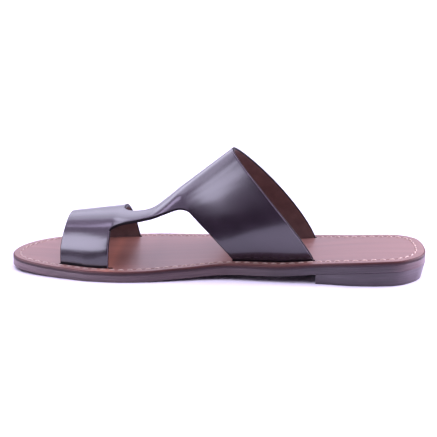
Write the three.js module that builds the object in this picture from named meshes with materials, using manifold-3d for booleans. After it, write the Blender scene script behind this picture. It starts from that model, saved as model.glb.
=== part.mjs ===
// Leather slide sandal for a right foot. One H-shaped piece of leather makes the upper: a toe strap
// and an instep strap joined by a narrow bridge. Its four ends go down through slots in a leather
// insole, which lies on a leather outsole with a low heel.
// Millimetres: the toe points to -X, the medial side of the foot to -Y, and the sole stands on Z = 0.
import * as THREE from 'three';
import { mergeVertices } from 'three/addons/utils/BufferGeometryUtils.js';
import Module from 'manifold-3d';

// Driving dimensions
const LENGTH = 280;
const INSOLE_THICKNESS = 2.5;
const OUTSOLE_THICKNESS = 4.5;
const UPPER_THICKNESS = 2.2;
const SEAM_GAP = 0.3;
const EDGE_CHAMFER = 0.7;
const HEEL_BREAST_X = 67;
const HEEL_SIDE_TAPER = 0.4;
const HEEL_BACK_TAPER = 2.5;
const MEDIAL_STRAP_INSET = 8;
const LATERAL_STRAP_INSET = 7;
const SLOT_SPARE_LENGTH = 0.8;
const TOE_SLOT_BACK_SPARE = 3;

// Sole sections from toe to heel: station, edges of the outline, and height of the footbed.
// The footbed is level over the ball of the foot, so that the sole rests on a flat spot there.
const SOLE_SECTIONS = [
  { x: -140, medial: -12.7, lateral: -12.7, footbed: 9.8 },
  { x: -134, medial: -27.2, lateral: 11.3, footbed: 9.3 },
  { x: -120, medial: -35.7, lateral: 29.5, footbed: 8.4 },
  { x: -98, medial: -43.2, lateral: 41.9, footbed: 7.5 },
  { x: -84, medial: -47.2, lateral: 45.9, footbed: 7.3 },
  { x: -64, medial: -48.7, lateral: 48.5, footbed: 7.3 },
  { x: -48, medial: -47.3, lateral: 48.7, footbed: 7.7 },
  { x: -20, medial: -41.9, lateral: 43.9, footbed: 9.3 },
  { x: 8, medial: -37.0, lateral: 37.8, footbed: 10.9 },
  { x: 40, medial: -39.9, lateral: 35.4, footbed: 11.4 },
  { x: 66, medial: -41.4, lateral: 32.4, footbed: 13.7 },
  { x: 95, medial: -44.9, lateral: 25.3, footbed: 16.2 },
  { x: 118, medial: -43.2, lateral: 24.6, footbed: 17.1 },
  { x: 134, medial: -32.2, lateral: 16.2, footbed: 17.3 },
  { x: 140, medial: -13.5, lateral: -13.5, footbed: 17.3 },
];

// Ribs of the upper, each an arch across the foot: distance along the crest, stations of its two feet,
// its highest point, how square the arch is, how late it leans and drifts to its crest, and its swell.
const RIBS = [
  {
    along: 0, medialX: -104.3, lateralX: -95, crestX: -101.6, crestY: -6, crestZ: 35.8,
    square: 2.4, lean: 3.5, drift: 2.5, swell: 0,
  },
  {
    along: 32, medialX: -70.7, lateralX: -59, crestX: -70.2, crestY: -7.5, crestZ: 39.3,
    square: 2.6, lean: 1.2, drift: 2.5, swell: 0,
  },
  {
    along: 45, medialX: -52, lateralX: -43, crestX: -57, crestY: -9.5, crestZ: 40.7,
    square: 3.7, lean: 1.15, drift: 2.2, swell: 0.04,
  },
  {
    along: 57, medialX: -32, lateralX: -26, crestX: -44.8, crestY: -10.2, crestZ: 43.2,
    square: 4, lean: 1.1, drift: 2, swell: 0.08,
  },
  {
    along: 69, medialX: -10.5, lateralX: -8, crestX: -34.2, crestY: -9.8, crestZ: 49.6,
    square: 3.4, lean: 1.07, drift: 2, swell: 0.1,
  },
  {
    along: 81, medialX: 11.7, lateralX: 11, crestX: -25, crestY: -8.7, crestZ: 56.6,
    square: 2.6, lean: 1.05, drift: 2, swell: 0.12,
  },
  {
    along: 125, medialX: 65.6, lateralX: 65.8, crestX: 9.9, crestY: -6.9, crestZ: 83.7,
    square: 2.3, lean: 1.2, drift: 2, swell: 0.18,
  },
];
const TOE_STRAP = { front: 0, back: 32 };
const INSTEP_STRAP = { front: 81, back: 125 };

// Edges of the bridge between the straps, across the sheet: -1 is the medial insole, 1 the lateral one.
const BRIDGE = [
  { along: 32, medial: -0.48, lateral: 0.06 },
  { along: 45, medial: -0.457, lateral: -0.065 },
  { along: 53, medial: -0.458, lateral: -0.1 },
  { along: 61, medial: -0.49, lateral: -0.08 },
  { along: 69, medial: -0.517, lateral: -0.01 },
  { along: 75, medial: -0.512, lateral: 0.04 },
  { along: 81, medial: -0.507, lateral: 0.08 },
];
const BRIDGE_MM_ACROSS = 58;

// Rounded corners of the cut-outs at the bridge, and how far the strap's edge sweeps into each cut-out
// between its foot and the crest
const MEDIAL_CUTOUT = { toeFillet: 4, instepFillet: 5, toeSweep: 0, instepSweep: 3.5 };
const LATERAL_CUTOUT = { toeFillet: 6, instepFillet: 9, toeSweep: 6.2, instepSweep: 0 };

// Fineness of the facets
const SOLE_STATIONS = 56;
const UPPER_ROWS = 44;
const TOE_STRAP_COLUMNS = 6;
const BRIDGE_COLUMNS = 17;
const INSTEP_STRAP_COLUMNS = 9;
const SLOT_STEPS = 12;

const wasm = await Module();
wasm.setup();

// Smooth curve through one column of a table, which never swings past its rows
function curveThrough(rows, position, column) {
  const at = rows.map(position);
  const value = rows.map((row) => row[column]);
  const last = rows.length - 1;
  const step = at.slice(1).map((t, i) => t - at[i]);
  const slope = step.map((h, i) => (value[i + 1] - value[i]) / h);
  const tangent = at.map((_, i) => {
    if (i === 0) return slope[0];
    if (i === last) return slope[last - 1];
    if (slope[i - 1] * slope[i] <= 0) return 0;
    const before = 2 * step[i] + step[i - 1];
    const after = step[i] + 2 * step[i - 1];
    return (before + after) / (before / slope[i - 1] + after / slope[i]);
  });
  return (t) => {
    let i = 0;
    while (i < last - 1 && t > at[i + 1]) i += 1;
    const s = (THREE.MathUtils.clamp(t, at[0], at[last]) - at[i]) / step[i];
    const r = 1 - s;
    return (1 + 2 * s) * r * r * value[i] + s * r * r * step[i] * tangent[i]
      + s * s * (3 - 2 * s) * value[i + 1] - s * s * r * step[i] * tangent[i + 1];
  };
}

// The turn of a station, 0 at the toe and PI at the heel, spaces the outline round its two ends
const turnOf = (x) => Math.acos(THREE.MathUtils.clamp(-2 * x / LENGTH, -1, 1));
const stationAt = (turn) => -LENGTH / 2 * Math.cos(turn);
const medialEdge = curveThrough(SOLE_SECTIONS, (row) => turnOf(row.x), 'medial');
const lateralEdge = curveThrough(SOLE_SECTIONS, (row) => turnOf(row.x), 'lateral');
const footbedHeight = curveThrough(SOLE_SECTIONS, (row) => row.x, 'footbed');

// Closed solid from loose triangles: shared corners merged, collapsed triangles dropped
function solidFrom(triangles) {
  const soup = new THREE.BufferGeometry();
  const corners = triangles.flat().flatMap((point) => point.toArray());
  soup.setAttribute('position', new THREE.Float32BufferAttribute(corners, 3));
  const merged = mergeVertices(soup, 1e-4);
  const index = merged.index.array;
  const kept = [];
  for (let i = 0; i < index.length; i += 3) {
    const [a, b, c] = index.slice(i, i + 3);
    if (a !== b && b !== c && c !== a) kept.push(a, b, c);
  }
  merged.setIndex(kept);
  return merged;
}

const quad = (a, b, c, d) => [[a, b, c], [a, c, d]];

// Values from one end towards the other, which is left out
function evenSteps(from, to, count) {
  return Array.from({ length: count }, (_, i) => from + (to - from) * i / count);
}

// Place on the medial (-1) or lateral (1) edge of the sole, moved into it square to the outline
function edgePlace(side, turn, inset) {
  const NUDGE = 1e-4;
  const edge = side < 0 ? medialEdge : lateralEdge;
  const place = (t) => new THREE.Vector2(stationAt(t), edge(t));
  const run = place(Math.min(turn + NUDGE, Math.PI)).sub(place(Math.max(turn - NUDGE, 0))).normalize();
  return place(turn).addScaledVector(new THREE.Vector2(run.y, -run.x), inset * side);
}

// Layer of the sole between two turns: rings of the outline from bottom to top, with inset and height
function soleLayer(fromTurn, toTurn, rings) {
  const turns = [...evenSteps(fromTurn, toTurn, SOLE_STATIONS), toTurn];
  const loops = rings.map(({ inset, height }) => turns.map((turn) => {
    const [medial, lateral] = [-1, 1].map((side) => edgePlace(side, turn, inset(turn)));
    const z = height(stationAt(turn));
    return {
      medial: new THREE.Vector3(medial.x, medial.y, z),
      lateral: new THREE.Vector3(lateral.x, lateral.y, z),
    };
  }));
  const bottom = loops[0];
  const top = loops.at(-1);
  const triangles = [];
  for (let i = 0; i < SOLE_STATIONS; i += 1) {
    triangles.push(...quad(bottom[i].medial, bottom[i].lateral, bottom[i + 1].lateral, bottom[i + 1].medial));
    triangles.push(...quad(top[i].medial, top[i + 1].medial, top[i + 1].lateral, top[i].lateral));
  }
  for (let ring = 0; ring + 1 < loops.length; ring += 1) {
    const low = loops[ring];
    const high = loops[ring + 1];
    for (let i = 0; i < SOLE_STATIONS; i += 1) {
      triangles.push(...quad(low[i].medial, low[i + 1].medial, high[i + 1].medial, high[i].medial));
      triangles.push(...quad(low[i].lateral, high[i].lateral, high[i + 1].lateral, low[i + 1].lateral));
    }
    const end = SOLE_STATIONS;
    triangles.push(...quad(low[0].lateral, low[0].medial, high[0].medial, high[0].lateral));
    triangles.push(...quad(low[end].medial, low[end].lateral, high[end].lateral, high[end].medial));
  }
  return solidFrom(triangles);
}

const insoleBottom = (x) => footbedHeight(x) - INSOLE_THICKNESS;
const outsoleTop = (x) => insoleBottom(x) - SEAM_GAP;
const outsoleBottom = (x) => outsoleTop(x) - OUTSOLE_THICKNESS;

// The upper as a sheet: across runs from the medial foot at -1 to the lateral foot at 1
const ribColumn = Object.fromEntries(Object.keys(RIBS[0]).filter((name) => name !== 'along')
  .map((name) => [name, curveThrough(RIBS, (row) => row.along, name)]));

// The straps' feet lie inside the sole's edge by the inset at each rib, and run nearly straight between
const ribFeet = RIBS.map(({ along, medialX, lateralX }) => ({
  along,
  medial: medialEdge(turnOf(medialX)) + MEDIAL_STRAP_INSET,
  lateral: lateralEdge(turnOf(lateralX)) - LATERAL_STRAP_INSET,
}));
const medialFoot = curveThrough(ribFeet, (row) => row.along, 'medial');
const lateralFoot = curveThrough(ribFeet, (row) => row.along, 'lateral');

function strapFoot(side, along) {
  const x = side < 0 ? ribColumn.medialX(along) : ribColumn.lateralX(along);
  const y = side < 0 ? medialFoot(along) : lateralFoot(along);
  return new THREE.Vector3(x, y, footbedHeight(x));
}

// Level direction of a strap's foot towards the heel, and the one square to it out of the shoe
function footRun(side, along) {
  return strapFoot(side, along + 0.1).sub(strapFoot(side, along - 0.1)).setZ(0).normalize();
}

function footOutward(side, along) {
  const run = footRun(side, along);
  return new THREE.Vector3(-run.y * side, run.x * side, 0);
}

function archPoint(across, along) {
  const square = ribColumn.square(along);
  const reach = Math.cos((1 + across) * Math.PI / 2);
  const rise = Math.max(1 - Math.abs(reach) ** square, 0) ** (1 / square);
  const medial = strapFoot(-1, along);
  const lateral = strapFoot(1, along);
  const base = medial.clone().lerp(lateral, (1 - reach) / 2);
  const middle = (medial.y + lateral.y) / 2;
  const half = (lateral.y - medial.y) / 2 * (1 + 4 * ribColumn.swell(along) * rise * (1 - rise));
  return new THREE.Vector3(
    THREE.MathUtils.lerp(base.x, ribColumn.crestX(along), rise ** ribColumn.lean(along)),
    THREE.MathUtils.lerp(middle, ribColumn.crestY(along), rise ** ribColumn.drift(along)) - half * reach,
    THREE.MathUtils.lerp(base.z, ribColumn.crestZ(along), rise),
  );
}

// Past a foot the sheet goes straight down into its slot and stops just above the outsole
const SLOT_DEPTH = INSOLE_THICKNESS - SEAM_GAP;

function sheetPoint(across, along) {
  if (Math.abs(across) <= 1) return archPoint(across, along);
  const foot = strapFoot(Math.sign(across), along);
  return foot.setZ(foot.z - SLOT_DEPTH);
}

function sheetOutward(across, along) {
  if (Math.abs(across) >= 1) return footOutward(Math.sign(across), along);
  const du = 1e-3;
  const da = 0.05;
  const acrossRun = archPoint(across + du, along).sub(archPoint(across - du, along));
  const alongRun = archPoint(across, along + da).sub(archPoint(across, along - da));
  return alongRun.cross(acrossRun).normalize();
}

// Depth inside a cut-out, in millimetres of leather: its corners at the bridge are rounded
const bridgeMedial = curveThrough(BRIDGE, (row) => row.along, 'medial');
const bridgeLateral = curveThrough(BRIDGE, (row) => row.along, 'lateral');

function cutoutDepth(across, along, side, { toeFillet, instepFillet, toeSweep, instepSweep }) {
  const sweep = Math.max(1 - across ** 2, 0) ** 1.5;
  const fromToe = along - TOE_STRAP.back - toeSweep * sweep;
  const fromInstep = INSTEP_STRAP.front - instepSweep * sweep - along;
  const edge = side < 0 ? bridgeMedial(along) : bridgeLateral(along);
  const fromBridge = (across - edge) * side * BRIDGE_MM_ACROSS;
  const radius = fromToe < fromInstep ? toeFillet : instepFillet;
  const short = [fromToe, fromInstep, fromBridge].map((d) => Math.max(radius - d, 0));
  return radius - Math.hypot(...short);
}

const leatherDepth = ([across, along]) => -Math.max(
  cutoutDepth(across, along, -1, MEDIAL_CUTOUT),
  cutoutDepth(across, along, 1, LATERAL_CUTOUT),
);

// Cells of the sheet that hold leather, cut along the edges of the cut-outs.
// A corner that lies close to an edge is moved onto it, so that no sliver is left.
function leatherCells(acrossRows, alongColumns) {
  const CLOSE = 0.7;
  const NUDGE = 1e-4;
  const nodes = acrossRows.map((across) => alongColumns.map((along) => {
    const node = [across, along];
    const depth = leatherDepth(node);
    if (Math.abs(depth) > CLOSE || Math.abs(across) >= 1) return { at: node, depth };
    const slopeAcross = (leatherDepth([across + NUDGE, along]) - depth) / NUDGE;
    const slopeAlong = (leatherDepth([across, along + NUDGE]) - depth) / NUDGE;
    const slopePerMm = slopeAcross / BRIDGE_MM_ACROSS;
    const steep = slopePerMm ** 2 + slopeAlong ** 2;
    const onEdge = [
      across - depth * slopePerMm / steep / BRIDGE_MM_ACROSS,
      along - depth * slopeAlong / steep,
    ];
    return { at: onEdge, depth: 0 };
  }));
  const crossing = (inner, outer) => {
    let [low, high] = [0, 1];
    const mix = (t) => inner.at.map((value, i) => value + (outer.at[i] - value) * t);
    for (let i = 0; i < 30; i += 1) {
      const middle = (low + high) / 2;
      if (leatherDepth(mix(middle)) > 0) low = middle;
      else high = middle;
    }
    return mix(low);
  };
  const cells = [];
  for (let i = 0; i + 1 < acrossRows.length; i += 1) {
    for (let j = 0; j + 1 < alongColumns.length; j += 1) {
      const corners = [nodes[i][j], nodes[i][j + 1], nodes[i + 1][j + 1], nodes[i + 1][j]];
      const cell = [];
      corners.forEach((corner, k) => {
        const next = corners[(k + 1) % corners.length];
        if (corner.depth >= 0) cell.push(corner.at);
        if (corner.depth > 0 && next.depth < 0) cell.push(crossing(corner, next));
        if (corner.depth < 0 && next.depth > 0) cell.push(crossing(next, corner));
      });
      if (cell.length < 3) continue;
      const centre = [0, 1].map((k) => cell.reduce((sum, point) => sum + point[k], 0) / cell.length);
      if (leatherDepth(centre) > 0) cells.push(cell);
    }
  }
  return cells;
}

// Thick leather from the cells: the outer face, the inner face, and the cut edge all round
function thickSheet(cells) {
  const nameOf = ([across, along]) => `${across.toFixed(6)} ${along.toFixed(5)}`;
  const outer = new Map();
  const inner = new Map();
  const openEdges = new Map();
  const triangles = [];
  cells.flat().forEach((at) => {
    const point = sheetPoint(...at);
    outer.set(nameOf(at), point);
    inner.set(nameOf(at), point.clone().addScaledVector(sheetOutward(...at), -UPPER_THICKNESS));
  });
  cells.forEach((cell) => {
    const names = cell.map(nameOf);
    for (let k = 1; k + 1 < names.length; k += 1) {
      const fan = [names[0], names[k], names[k + 1]];
      triangles.push(fan.map((name) => outer.get(name)));
      triangles.push(fan.map((name) => inner.get(name)).reverse());
    }
    names.forEach((name, k) => {
      const next = names[(k + 1) % names.length];
      if (!openEdges.delete(`${next}|${name}`)) openEdges.set(`${name}|${next}`, [name, next]);
    });
  });
  openEdges.forEach(([from, to]) => {
    triangles.push(...quad(outer.get(to), outer.get(from), inner.get(from), inner.get(to)));
  });
  return solidFrom(triangles);
}

function upperGeometry() {
  const belowFoot = 1 + 2 / UPPER_ROWS;
  const acrossRows = [-belowFoot, ...evenSteps(-1, 1, UPPER_ROWS), 1, belowFoot];
  const alongColumns = [
    ...evenSteps(TOE_STRAP.front, TOE_STRAP.back, TOE_STRAP_COLUMNS),
    ...evenSteps(TOE_STRAP.back, INSTEP_STRAP.front, BRIDGE_COLUMNS),
    ...evenSteps(INSTEP_STRAP.front, INSTEP_STRAP.back, INSTEP_STRAP_COLUMNS),
    INSTEP_STRAP.back,
  ];
  return thickSheet(leatherCells(acrossRows, alongColumns));
}

// Upright cutter for the slot that takes one end of a strap
function slotCutter(side, strap) {
  const clearance = SEAM_GAP;
  const height = 60;
  const backSpare = side < 0 && strap === TOE_STRAP ? TOE_SLOT_BACK_SPARE : SLOT_SPARE_LENGTH;
  const outerLine = [];
  const innerLine = [];
  for (let i = 0; i <= SLOT_STEPS; i += 1) {
    const along = THREE.MathUtils.lerp(strap.front, strap.back, i / SLOT_STEPS);
    const outward = footOutward(side, along);
    const foot = strapFoot(side, along);
    if (i === 0) foot.addScaledVector(footRun(side, along), -SLOT_SPARE_LENGTH);
    if (i === SLOT_STEPS) foot.addScaledVector(footRun(side, along), backSpare);
    outerLine.push(foot.clone().addScaledVector(outward, clearance));
    innerLine.push(foot.clone().addScaledVector(outward, -UPPER_THICKNESS - clearance));
  }
  const outline = [...outerLine, ...innerLine.reverse()].map((p) => new THREE.Vector2(p.x, p.y));
  const cutter = new THREE.ExtrudeGeometry(new THREE.Shape(outline), { depth: height, bevelEnabled: false });
  return cutter.translate(0, 0, -height / 2);
}

function manifoldOf(geometry) {
  const bare = geometry.clone();
  bare.deleteAttribute('normal');
  bare.deleteAttribute('uv');
  const merged = mergeVertices(bare, 1e-4);
  const mesh = new wasm.Mesh({
    numProp: 3,
    vertProperties: new Float32Array(merged.attributes.position.array),
    triVerts: new Uint32Array(merged.index.array),
  });
  return new wasm.Manifold(mesh);
}

function cutAway(geometry, cutters) {
  const cut = cutters.reduce((solid, cutter) => solid.subtract(manifoldOf(cutter)), manifoldOf(geometry));
  const mesh = cut.getMesh();
  const result = new THREE.BufferGeometry();
  result.setAttribute('position', new THREE.BufferAttribute(new Float32Array(mesh.vertProperties), 3));
  result.setIndex([...mesh.triVerts]);
  return result;
}

const insetBy = (inset) => () => inset;

function insoleGeometry() {
  const slab = soleLayer(0, Math.PI, [
    { inset: insetBy(0), height: insoleBottom },
    { inset: insetBy(0), height: (x) => footbedHeight(x) - EDGE_CHAMFER },
    { inset: insetBy(EDGE_CHAMFER), height: footbedHeight },
  ]);
  const slots = [-1, 1].flatMap((side) => [TOE_STRAP, INSTEP_STRAP].map((strap) => slotCutter(side, strap)));
  return cutAway(slab, slots);
}

function outsoleGeometry() {
  return soleLayer(0, Math.PI, [
    { inset: insetBy(EDGE_CHAMFER), height: outsoleBottom },
    { inset: insetBy(0), height: (x) => outsoleBottom(x) + EDGE_CHAMFER },
    { inset: insetBy(0), height: outsoleTop },
  ]);
}

// The heel is nearly upright at its sides and slopes in round its back
const heelTaper = (turn) => HEEL_SIDE_TAPER + (HEEL_BACK_TAPER - HEEL_SIDE_TAPER) * Math.cos(turn) ** 6;

function heelGeometry() {
  return soleLayer(turnOf(HEEL_BREAST_X), Math.PI, [
    { inset: (turn) => heelTaper(turn) + EDGE_CHAMFER, height: () => 0 },
    { inset: heelTaper, height: () => EDGE_CHAMFER },
    { inset: insetBy(0), height: (x) => outsoleBottom(x) - SEAM_GAP },
  ]);
}

function piece(name, geometry, color, roughness) {
  const flat = geometry.toNonIndexed();
  flat.computeVertexNormals();
  const material = new THREE.MeshStandardMaterial({ color, roughness, metalness: 0 });
  const mesh = new THREE.Mesh(flat, material);
  mesh.name = name;
  return mesh;
}

const sandal = new THREE.Group();
sandal.add(
  piece('outsole', outsoleGeometry(), 0x4a3a41, 0.5),
  piece('heel', heelGeometry(), 0x463840, 0.5),
  piece('insole', insoleGeometry(), 0x7a5350, 0.45),
  piece('upper', upperGeometry(), 0x2b1d26, 0.35),
);

export default sandal;
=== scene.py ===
import math

import bmesh
import bpy
import numpy as np
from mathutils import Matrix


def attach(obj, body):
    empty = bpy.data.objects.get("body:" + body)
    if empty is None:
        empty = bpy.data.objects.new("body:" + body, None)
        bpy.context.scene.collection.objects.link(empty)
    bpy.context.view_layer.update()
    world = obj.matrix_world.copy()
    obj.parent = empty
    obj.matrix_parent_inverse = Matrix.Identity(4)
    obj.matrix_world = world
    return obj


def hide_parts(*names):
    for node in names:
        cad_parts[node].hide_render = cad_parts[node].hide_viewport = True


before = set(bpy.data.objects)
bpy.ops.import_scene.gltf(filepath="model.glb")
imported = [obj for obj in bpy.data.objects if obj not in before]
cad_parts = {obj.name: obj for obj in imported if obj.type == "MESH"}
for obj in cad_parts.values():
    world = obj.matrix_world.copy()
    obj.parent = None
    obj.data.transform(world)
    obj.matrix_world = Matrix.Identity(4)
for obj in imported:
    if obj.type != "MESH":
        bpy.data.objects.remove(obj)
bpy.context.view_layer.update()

# Outsole: the layer of firm sole leather that meets the ground, cut to the outline of a right foot.
# It is glued under the insole. Its cut edge is sanded smooth, dyed with the insole's edge and waxed.
# Sizes are in millimetres up to the point where a mesh is made: toe to -X, medial side to -Y.
MM = 0.001
SOLE_LENGTH = 280
SOLE_SECTIONS = {
    "station": [-140, -134, -120, -98, -84, -64, -48, -20, 8, 40, 66, 95, 118, 134, 140],
    "medial": [
        -12.7, -27.2, -35.7, -43.2, -47.2, -48.7, -47.3, -41.9,
        -37, -39.9, -41.4, -44.9, -43.2, -32.2, -13.5,
    ],
    "lateral": [-12.7, 11.3, 29.5, 41.9, 45.9, 48.5, 48.7, 43.9, 37.8, 35.4, 32.4, 25.3, 24.6, 16.2, -13.5],
    "footbed": [9.8, 9.3, 8.4, 7.5, 7.3, 7.3, 7.7, 9.3, 10.9, 11.4, 13.7, 16.2, 17.1, 17.3, 17.3],
}
INSOLE_THICKNESS = 2.5
OUTSOLE_THICKNESS = 4.5
SEAM_GAP = 0.3
GLUE_LINE = 0.05
SOLE_STATIONS = 240
SOLE_CROSS_STEPS = 16
OUTSOLE_TOP_ROUND = 0.12
OUTSOLE_BOTTOM_ROUND = 0.25
ROUND_DEGREES = [0, 30, 60, 90]
MERGE_DISTANCE = 0.005
SLIVER_LENGTH = 0.0001
SHARP_DEGREES = 38
# Places of a sole layer's finishes in its list of materials
SOLE_EDGE = 0
SOLE_UNDERSIDE = 1
OUTSOLE_EDGE_COLOURS = [
    (0.3, (0.060, 0.029, 0.035)), (0.5, (0.120, 0.062, 0.070)), (0.7, (0.185, 0.108, 0.118)),
]
# Painted shade and light along the edge: lighter at the toe, darker and bluer towards the heel, lighter
# again at its end
OUTSOLE_PAINTED_LIGHT_AND_SHADE = [
    (-140, 1.2), (-100, 0.62), (-60, 0.66), (10, 0.62), (40, (0.36, 0.37, 0.40)),
    (62, (0.31, 0.35, 0.42)), (115, (0.33, 0.37, 0.43)), (134, 1.0),
]
OUTSOLE_UNDERSIDE_COLOURS = [(0.3, (0.070, 0.040, 0.048)), (0.7, (0.110, 0.070, 0.075))]


def curve_through(at, values):
    """Smooth curve through the values, which never swings past them."""
    at = np.asarray(at, float)
    values = np.asarray(values, float)
    step = np.diff(at)
    slope = np.diff(values) / step
    tangent = np.zeros(len(at))
    tangent[0] = slope[0]
    tangent[-1] = slope[-1]
    for i in range(1, len(at) - 1):
        if slope[i - 1] * slope[i] > 0:
            before = 2 * step[i] + step[i - 1]
            after = step[i] + 2 * step[i - 1]
            tangent[i] = (before + after) / (before / slope[i - 1] + after / slope[i])

    def value(t):
        t = np.clip(t, at[0], at[-1])
        i = np.clip(np.searchsorted(at, t, side="right") - 1, 0, len(at) - 2)
        s = (t - at[i]) / step[i]
        r = 1 - s
        start = (1 + 2 * s) * r * r * values[i] + s * r * r * step[i] * tangent[i]
        end = s * s * (3 - 2 * s) * values[i + 1] - s * s * r * step[i] * tangent[i + 1]
        return start + end

    return value


def turn_of(station):
    """Angle that spaces the outline round its two ends: 0 at the toe, pi at the heel."""
    return np.arccos(np.clip(-2 * np.asarray(station, float) / SOLE_LENGTH, -1, 1))


medial_edge = curve_through(turn_of(SOLE_SECTIONS["station"]), SOLE_SECTIONS["medial"])
lateral_edge = curve_through(turn_of(SOLE_SECTIONS["station"]), SOLE_SECTIONS["lateral"])
footbed = curve_through(SOLE_SECTIONS["station"], SOLE_SECTIONS["footbed"])


def sole_edge(side, turns, inset):
    """Plan points of the medial (-1) or lateral (1) edge, moved into the sole by the inset."""
    edge = medial_edge if side < 0 else lateral_edge

    def plan(t):
        return np.stack([-SOLE_LENGTH / 2 * np.cos(t), edge(t)], axis=-1)

    nudge = 1e-4
    run = plan(np.minimum(turns + nudge, np.pi)) - plan(np.maximum(turns - nudge, 0))
    run /= np.linalg.norm(run, axis=-1, keepdims=True)
    inward = np.stack([run[:, 1], -run[:, 0]], axis=-1) * side
    return plan(turns) + inward * np.reshape(inset, (-1, 1))


def length_along(points):
    """Distance of each point from the first along the line through them."""
    steps = np.linalg.norm(np.diff(points, axis=0), axis=-1)
    return np.concatenate([[0], np.cumsum(steps)])


def sole_grids(turns, rings, cross_steps, side_material, top_material, bottom_material):
    """Grids of one layer of the sole. Its rings go from the bottom round the edge to the top face:
    each has an inset from the outline and a height over every station."""
    grids = []
    lines = {}
    for side in (-1, 1):
        plans = [sole_edge(side, turns, inset) for inset, _ in rings]
        lines[side] = np.array([
            np.column_stack([plan, height(plan[:, 0])]) for plan, (_, height) in zip(plans, rings)
        ])
        run = length_along(plans[0])
        middle = len(turns) // 2
        rise = length_along(lines[side][:, middle])
        pattern = np.stack(np.meshgrid(rise, run, indexing="ij")[::-1], axis=-1)
        grids.append((lines[side], pattern, side_material))
    share = np.linspace(0, 1, cross_steps + 1)[:, None, None]
    for ring, material in ((0, bottom_material), (-1, top_material)):
        face = lines[-1][ring] * (1 - share) + lines[1][ring] * share
        face[..., 2] = rings[ring][1](face[..., 0])
        grids.append((face, face[..., :2], material))
    # A layer that is cut off straight at its front, as the heel is, has a face there
    front = lines[-1][:, 0] * (1 - share) + lines[1][:, 0] * share
    if np.ptp(front[..., 1]) > 1:
        grids.append((front, front[..., 1:], side_material))
    return grids


def mesh_from_grids(name, grids):
    """One closed mesh in metres from grids of points. Each grid has a pattern plan, and one material index
    or an index for every face."""
    corners = []
    patterns = []
    faces = []
    indices = []
    count = 0
    for points, pattern, material in grids:
        rows, columns = points.shape[:2]
        index = count + np.arange(rows * columns).reshape(rows, columns)
        quads = np.stack([index[:-1, :-1], index[1:, :-1], index[1:, 1:], index[:-1, 1:]], axis=-1)
        corners.append(points.reshape(-1, 3))
        patterns.append(pattern.reshape(-1, 2))
        faces.append(quads.reshape(-1, 4))
        indices.append(np.broadcast_to(material, quads.shape[:2]).ravel())
        count += rows * columns
    faces = np.concatenate(faces)
    mesh = bpy.data.meshes.new(name)
    mesh.from_pydata(np.concatenate(corners) * MM, [], faces.tolist())
    plan = mesh.uv_layers.new(name="plan")
    plan.data.foreach_set("uv", (np.concatenate(patterns)[faces.ravel()] * MM).ravel())
    mesh.polygons.foreach_set("material_index", np.concatenate(indices))
    shell = bmesh.new()
    shell.from_mesh(mesh)
    bmesh.ops.remove_doubles(shell, verts=shell.verts, dist=MERGE_DISTANCE * MM)
    bmesh.ops.dissolve_degenerate(shell, edges=shell.edges, dist=SLIVER_LENGTH * MM)
    bmesh.ops.recalc_face_normals(shell, faces=shell.faces)
    shell.to_mesh(mesh)
    shell.free()
    return mesh


def place_piece(name, mesh, materials, replaced=None):
    """Puts a finished mesh into the scene as a piece of the sandal."""
    mesh.polygons.foreach_set("use_smooth", np.ones(len(mesh.polygons), bool))
    mesh.set_sharp_from_angle(angle=math.radians(SHARP_DEGREES))
    piece = bpy.data.objects.new(name, mesh)
    bpy.context.scene.collection.objects.link(piece)
    for material in materials:
        mesh.materials.append(material)
    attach(piece, "root")
    if replaced:
        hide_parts(replaced)


def node(tree, kind, settings=None, *ordered, **named):
    """A node with its settings. Its inputs, in order or by name, take a value or another node's output."""
    made = tree.nodes.new(kind)
    for name, value in (settings or {}).items():
        setattr(made, name, value)
    inputs = dict(enumerate(ordered))
    inputs.update((name.replace("_", " "), value) for name, value in named.items())
    for place, value in inputs.items():
        socket = made.inputs[place]
        if isinstance(value, bpy.types.NodeSocket):
            tree.links.new(value, socket)
        else:
            socket.default_value = value
    return made


def new_finish(name, **constants):
    """A material with its shader's constant values set, and the tree and shader to build on."""
    material = bpy.data.materials.new(name)
    material.use_nodes = True
    tree = material.node_tree
    shader = tree.nodes["Principled BSDF"]
    for socket, value in constants.items():
        shader.inputs[socket.replace("_", " ")].default_value = value
    return material, tree, shader


def colour_ramp(tree, factor, stops):
    """Colours blended along a factor: stops are (position, linear colour)."""
    ramp = node(tree, "ShaderNodeValToRGB", Fac=factor)
    while len(ramp.color_ramp.elements) < len(stops):
        ramp.color_ramp.elements.new(0.5)
    for element, (position, colour) in zip(ramp.color_ramp.elements, stops):
        element.position = position
        element.color = (*colour, 1)
    return ramp.outputs["Color"]


def toned(tree, colour, tones):
    """A colour that changes along the sole, to paint light and shade onto it. Tones are (station, tone): a
    tone is a share of the colour, or one share each of its red, green and blue."""
    place = node(tree, "ShaderNodeTexCoord").outputs["Object"]
    x = node(tree, "ShaderNodeSeparateXYZ", Vector=place).outputs["X"]
    half = SOLE_LENGTH / 2
    share = node(tree, "ShaderNodeMapRange", Value=x, From_Min=-half * MM, From_Max=half * MM)
    stops = [((station + half) / SOLE_LENGTH, np.broadcast_to(tone, 3)) for station, tone in tones]
    ramp = colour_ramp(tree, share.outputs["Result"], stops)
    return node(tree, "ShaderNodeVectorMath", {"operation": "MULTIPLY"}, colour, ramp).outputs["Vector"]


def noise(tree, place, scale, detail, roughness=0.5):
    """Cloudy pattern from 0 to 1."""
    made = node(tree, "ShaderNodeTexNoise", Vector=place, Scale=scale, Detail=detail, Roughness=roughness)
    return made.outputs["Fac"]


def gloss_between(tree, shader, pattern, smooth, rough):
    """Roughness that follows a pattern between two values."""
    share = node(tree, "ShaderNodeMapRange", Value=pattern, To_Min=smooth, To_Max=rough)
    tree.links.new(share.outputs["Result"], shader.inputs["Roughness"])


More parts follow.
